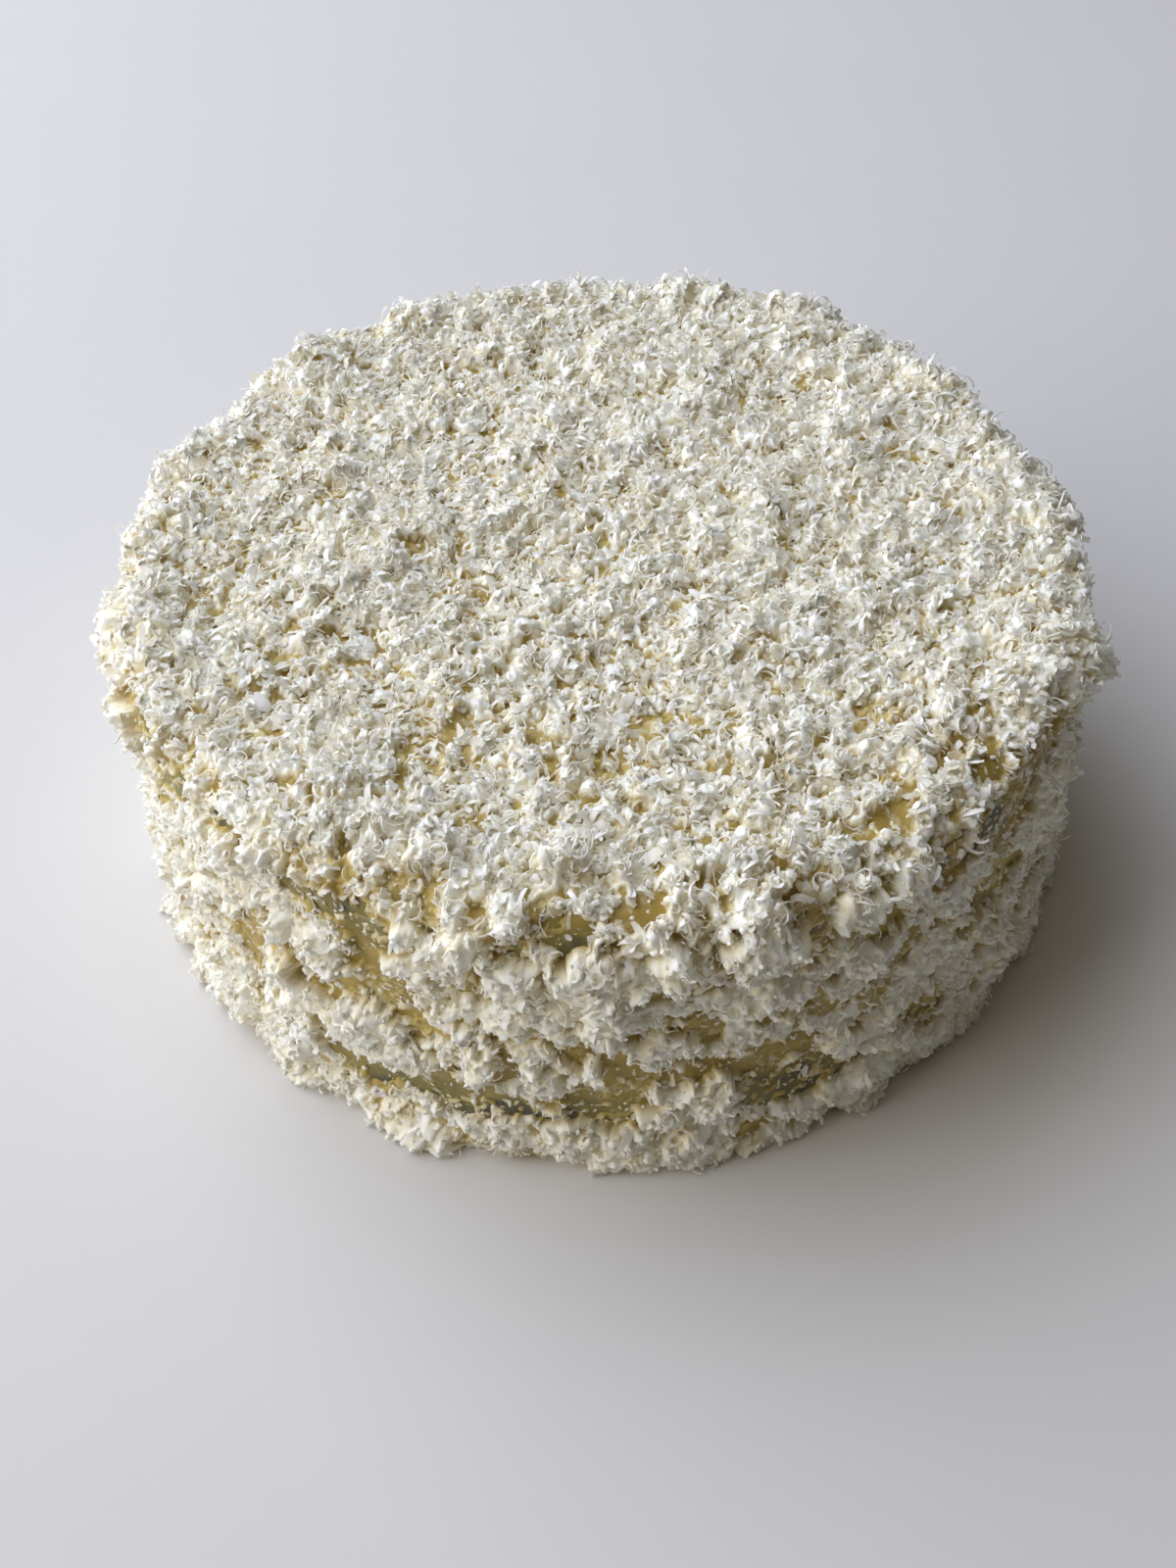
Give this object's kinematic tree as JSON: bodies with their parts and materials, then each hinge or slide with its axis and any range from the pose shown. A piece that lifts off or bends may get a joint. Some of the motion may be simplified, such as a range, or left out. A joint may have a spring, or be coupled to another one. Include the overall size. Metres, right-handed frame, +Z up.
{
  "type": "yema cake",
  "caption": "Whole round yema cake: a custard-coated sponge buried under a thick, uneven coat of finely grated white cheese.",
  "frame": {"origin": "on the surface that the cake stands on, under the middle of its outline", "axes": "+Z up, the short way through the cake; the shown front faces -Y"},
  "size_m": [0.2154, 0.214, 0.0835],
  "materials": {
    "custard": "soft yema custard, smooth and moist, golden ochre with olive patches over the darker sponge",
    "cheese": "finely grated semi-hard white cheese, dry and slightly translucent, in curls, flakes, shavings and crumbs"
  },
  "bodies": {
    "root": {"custard_cake": "custard", "cheese_coat": "cheese"}
  },
  "joints": []
}
